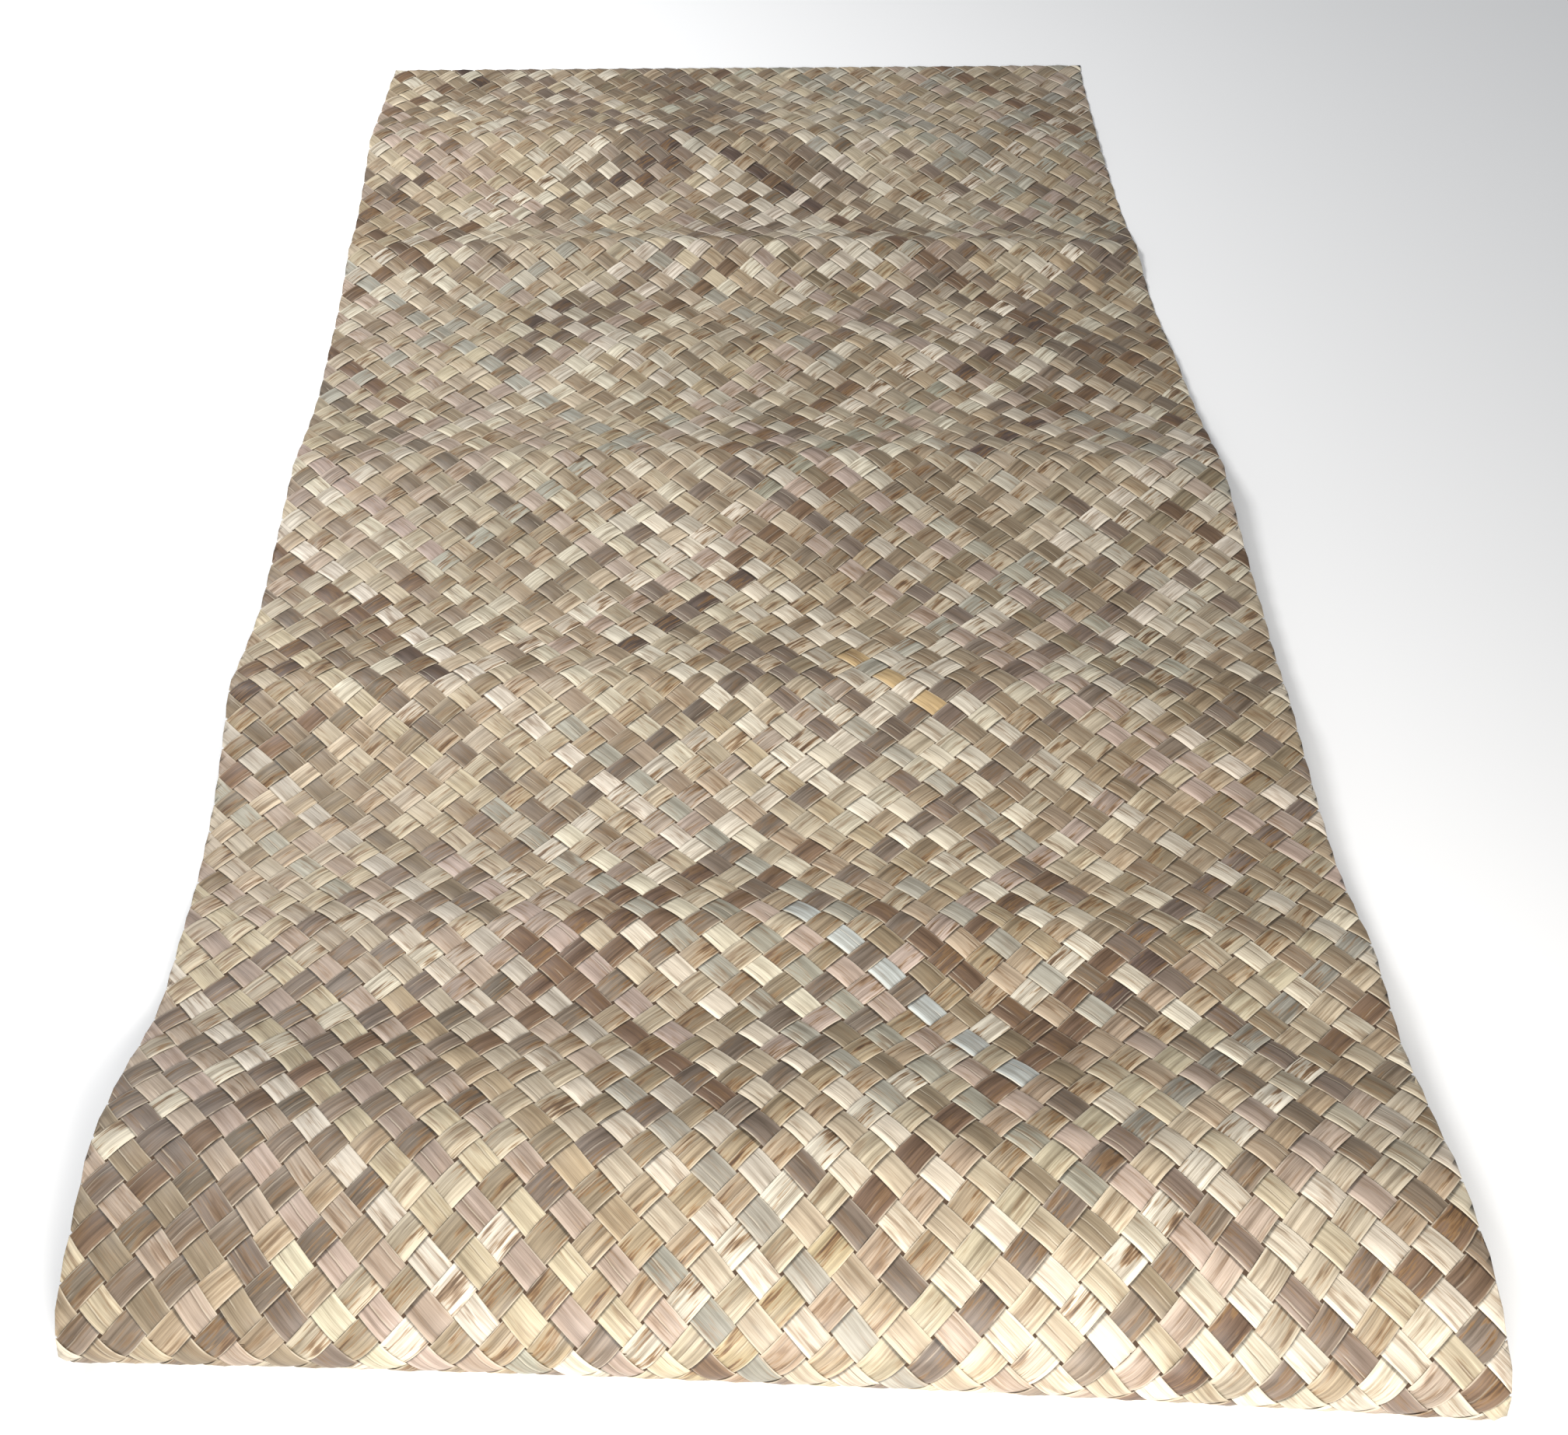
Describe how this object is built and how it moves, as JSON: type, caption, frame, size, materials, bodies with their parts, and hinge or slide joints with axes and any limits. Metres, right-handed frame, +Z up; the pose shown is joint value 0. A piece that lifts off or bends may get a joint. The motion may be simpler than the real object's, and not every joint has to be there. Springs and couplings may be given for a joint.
{
  "type": "pandanus mat",
  "caption": "Rectangular plaited leaf mat lying opened out on the floor, with cross creases from its roll, a low hump and its near end curled under.",
  "frame": {"origin": "middle of the bounding box's underside, on the floor", "axes": "+Z up, +Y along the mat towards its flat far end, +X to the right seen from the curled end"},
  "size_m": [1.237, 2.2688, 0.1104],
  "materials": {
    "mat": "matt plaited leaf strips, cream to brown"
  },
  "bodies": {
    "root": {"mat": "mat"}
  },
  "joints": []
}
